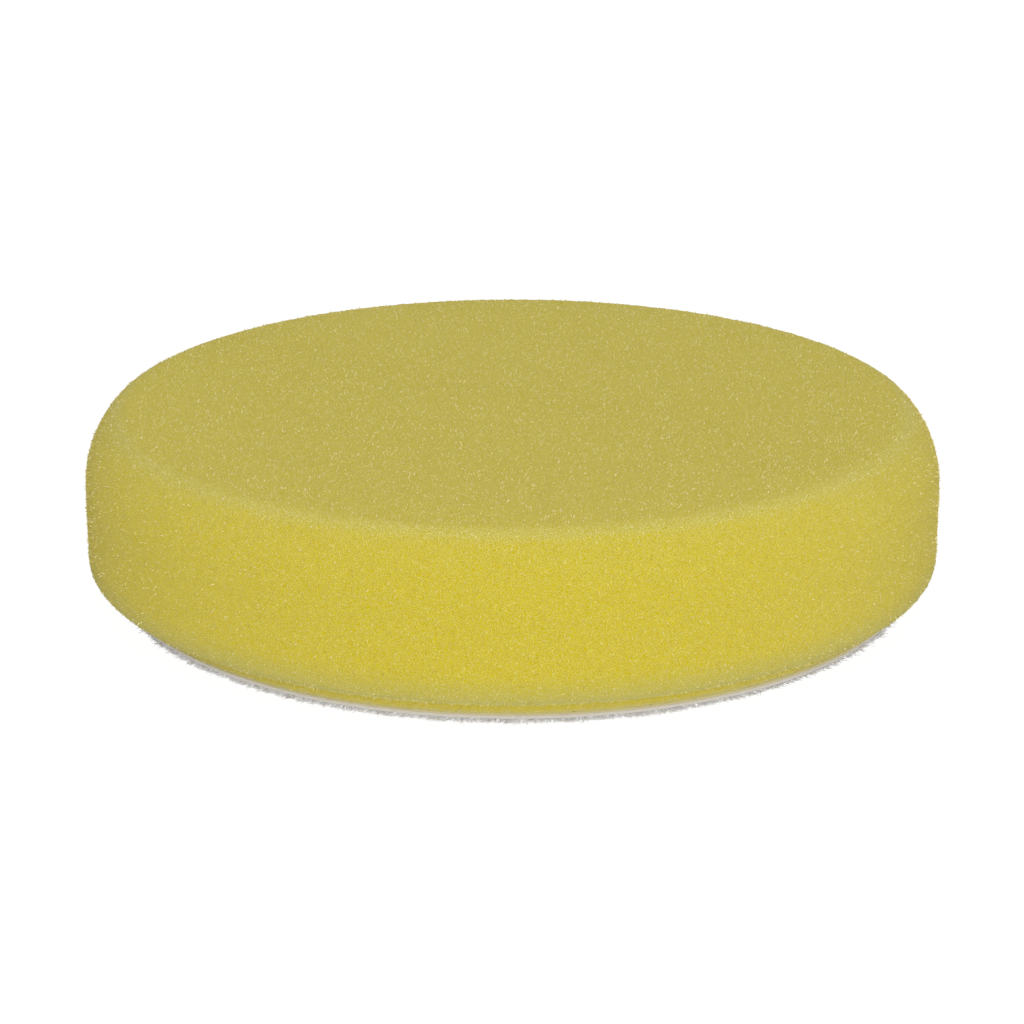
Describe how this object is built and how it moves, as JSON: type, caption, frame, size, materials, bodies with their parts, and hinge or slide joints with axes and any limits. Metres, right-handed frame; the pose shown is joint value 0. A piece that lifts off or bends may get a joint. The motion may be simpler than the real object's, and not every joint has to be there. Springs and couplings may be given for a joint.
{
  "type": "foam polishing pad",
  "caption": "Round open-cell foam polishing pad with a flat working face, a rounded rim, a tucked lower edge and a loop backing for a hook-faced plate.",
  "frame": {"origin": "on the pad's axis, at the height of the surface that the loop pile lies on", "axes": "+Z along the pad's axis towards the working face; X and Y are free, because the pad is round"},
  "size_m": [0.15, 0.15, 0.032],
  "materials": {
    "yellow_foam": "open-cell polyurethane foam, matte, fine cells",
    "beige_adhesive": "hot-melt film, satin",
    "white_knit": "fine warp-knit nylon, matte",
    "white_loops": "brushed nylon loop pile, matte with a slight sheen"
  },
  "bodies": {
    "root": {"foam_pad": "yellow_foam", "adhesive_film": "beige_adhesive", "loop_ground_cloth": "white_knit", "loop_pile": "white_loops"}
  },
  "joints": []
}
